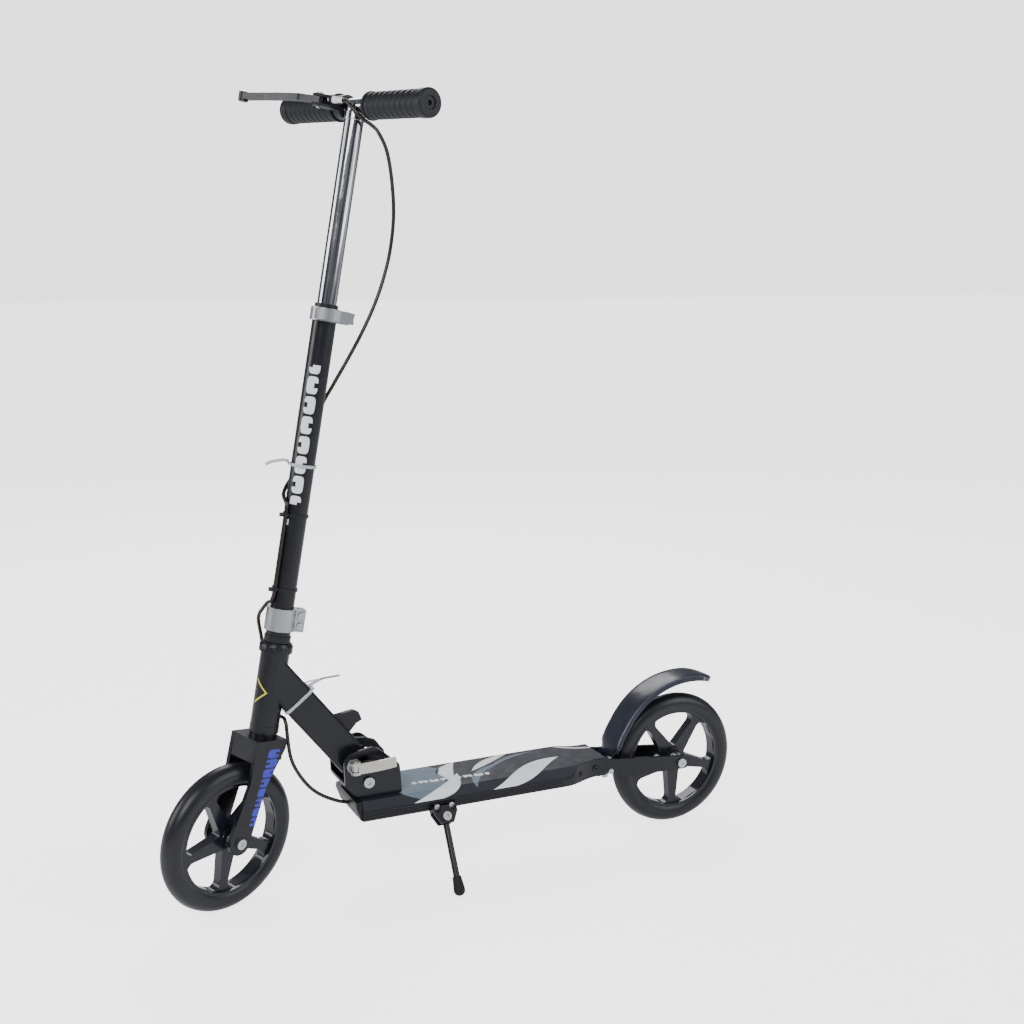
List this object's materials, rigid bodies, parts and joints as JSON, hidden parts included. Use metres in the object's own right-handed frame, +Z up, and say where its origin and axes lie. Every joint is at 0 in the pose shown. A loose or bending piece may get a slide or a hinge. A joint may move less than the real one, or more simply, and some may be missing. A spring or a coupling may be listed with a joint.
{
  "type": "kick scooter",
  "caption": "Folding kick scooter with two large wheels, a hand brake and a fender brake, a height-adjustable handlebar and a kickstand.",
  "frame": {"origin": "on the floor under the middle of the outer box, at rest on its wheels and kickstand, with the steering turned 24 degrees to the left", "axes": "+X forward, +Y to the rider's left, +Z up"},
  "size_m": [0.8768, 0.2986, 1.0598],
  "materials": {
    "black_paint": "satin black powder coat",
    "frame_paint": null,
    "fork_paint": null,
    "column_paint": null,
    "fender_paint": "satin black, pressed ribs",
    "deck_print": "charcoal print, grey and white shapes",
    "black_plastic": "moulded black nylon",
    "rim_nylon": "glossy charcoal nylon",
    "tyre_pu": "smooth cast polyurethane",
    "grip_rubber": "ribbed rubber",
    "foot_rubber": "matt rubber",
    "zinc": "bright zinc plate",
    "bearing_steel": "ground steel",
    "silver_alloy": "satin anodised",
    "lever_silver": "satin cast lever",
    "bright_chrome": "bright chrome",
    "nylon": "natural nylon",
    "white_plastic": "white moulding",
    "cable_sheath": "dark brown-black sheath"
  },
  "bodies": {
    "chassis": {"deck": "black_paint", "deck_grip": "deck_print", "deck_nose": "black_plastic", "fold_bracket": "black_paint", "bracket_screws": "zinc", "pivot_bolt": "zinc", "pivot_nut": "zinc", "rear_fork": "black_paint", "fork_arm_screws": "black_paint", "rear_axle": "zinc", "rear_axle_nut": "zinc", "rear_spacers": "zinc", "rear_pin": "zinc", "kickstand_bracket": "black_plastic", "kickstand_screws": "zinc", "kickstand_pin": "zinc", "brake_cable_deck": "cable_sheath", "fender_spring": "bearing_steel"},
    "front_frame": {"head_frame": "frame_paint", "pivot_bush": "nylon", "head_cups": "black_paint", "head_bearings": "bearing_steel", "frame_tie": "nylon", "skewer": "zinc", "skewer_fittings": "silver_alloy", "brake_cable_head": "cable_sheath", "brake_cable_low": "cable_sheath"},
    "fold_lever": {"fold_lever": "lever_silver"},
    "steering": {"fork": "fork_paint", "head_locknut": "black_plastic", "lower_clamp": "silver_alloy", "lower_clamp_bolts": "zinc", "column_tube": "column_paint", "column_ties": "black_plastic", "top_collar": "silver_alloy", "collar_skewer": "zinc", "top_bush": "black_plastic", "brake_cable_column": "cable_sheath", "front_axle": "zinc", "front_axle_nut": "zinc", "front_spacers": "zinc"},
    "collar_lever": {"collar_lever": "silver_alloy"},
    "front_wheel": {"front_rim": "rim_nylon", "front_tyre": "tyre_pu", "front_bearings": "bearing_steel"},
    "rear_wheel": {"rear_rim": "rim_nylon", "rear_tyre": "tyre_pu", "rear_bearings": "bearing_steel"},
    "handlebar": {"stem": "bright_chrome", "stem_plug": "nylon", "grips": "grip_rubber", "brake_bracket": "black_plastic", "lever_pin": "zinc", "cable_adjuster": "white_plastic", "brake_cable_top": "cable_sheath"},
    "brake_lever": {"brake_lever": "black_paint"},
    "fender": {"fender": "fender_paint"},
    "brake_arm": {"brake_arm": "zinc"},
    "kickstand": {"kickstand_leg": "black_paint", "kickstand_foot": "foot_rubber"}
  },
  "joints": [
    {"name": "frame_fold", "type": "hinge", "parent": "chassis", "child": "front_frame", "pos_m": [0.15662, 0, 0.151], "axis": [0, -1, 0], "range_deg": [0, 78], "deforming": ["brake_cable_low"]},
    {"name": "fold_lever_open", "type": "hinge", "parent": "front_frame", "child": "fold_lever", "pos_m": [0.17756, 0.046, 0.17752], "axis": [-0.0523, 0, -0.9986], "range_deg": [0, 150]},
    {"name": "steer", "type": "hinge", "parent": "front_frame", "child": "steering", "pos_m": [0.27739, 0, 0.29526], "axis": [-0.1771, 0, 0.9842], "range_deg": [-84, 36], "deforming": ["brake_cable_head"]},
    {"name": "bar_height", "type": "slide", "parent": "steering", "child": "handlebar", "axis": [0.1771, 0, -0.9842], "range_m": [0, 0.2], "deforming": ["brake_cable_top"]},
    {"name": "collar_lever_open", "type": "hinge", "parent": "steering", "child": "collar_lever", "pos_m": [0.15874, 0.00059, 0.76776], "axis": [-0.1771, 0, 0.9842], "range_deg": [0, 120]},
    {"name": "front_wheel_spin", "type": "hinge", "parent": "steering", "child": "front_wheel", "pos_m": [0.34551, 0.01444, 0.09978], "axis": [-0.4003, 0.9135, -0.072], "continuous": true},
    {"name": "rear_wheel_spin", "type": "hinge", "parent": "chassis", "child": "rear_wheel", "pos_m": [-0.33841, 0, 0.1], "axis": [0, 1, 0], "continuous": true},
    {"name": "brake_squeeze", "type": "hinge", "parent": "handlebar", "child": "brake_lever", "pos_m": [0.18777, -0.01558, 1.04016], "axis": [0.1771, 0, -0.9842], "range_deg": [0, 20], "stiffness_Nm_per_rad": 1, "springref_deg": -20.05},
    {"name": "brake_arm_press", "type": "hinge", "parent": "chassis", "child": "brake_arm", "pos_m": [-0.21891, 0, 0.1045], "axis": [0, -1, 0], "range_deg": [0, 7]},
    {"name": "fender_press", "type": "hinge", "parent": "chassis", "child": "fender", "pos_m": [-0.21891, 0, 0.1045], "axis": [0, -1, 0], "range_deg": [0, 8], "stiffness_Nm_per_rad": 6, "springref_deg": -6.88},
    {"name": "kickstand_fold", "type": "hinge", "parent": "chassis", "child": "kickstand", "pos_m": [0.05609, 0.058, 0.092], "axis": [0, 0.8572, 0.515], "range_deg": [0, 88]}
  ],
  "couplings": [
    {"joint": "brake_arm_press", "follows": "brake_squeeze", "ratio": 0.35}
  ]
}
